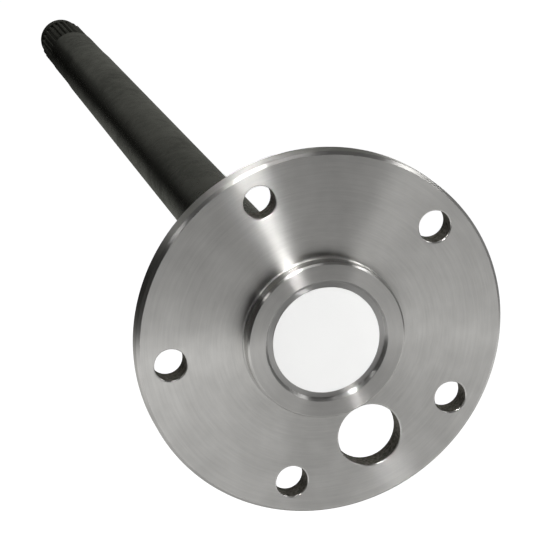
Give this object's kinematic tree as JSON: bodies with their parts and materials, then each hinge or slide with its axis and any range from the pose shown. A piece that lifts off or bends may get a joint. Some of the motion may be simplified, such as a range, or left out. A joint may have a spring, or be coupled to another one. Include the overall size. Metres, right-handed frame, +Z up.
{
  "type": "axle shaft",
  "caption": "Rear axle shaft forged in one piece: a drilled wheel flange with a raised pilot, a long tapered shaft, and a splined inner end with a clip groove.",
  "frame": {"origin": "centre of the wheel face, where the axle's axis meets the plane that the wheel bolts to", "axes": "+Y along the axle from the wheel face to the splined inner end, +Z up, so the wheel side looks along -Y"},
  "size_m": [0.146, 0.6485, 0.146],
  "materials": {
    "axle_steel": "flange turned bright, shaft blackened satin, bearing journal ground",
    "label_white": "plain white self-adhesive film"
  },
  "bodies": {
    "root": {"axle_shaft": "axle_steel", "hub_label": "label_white"}
  },
  "joints": []
}
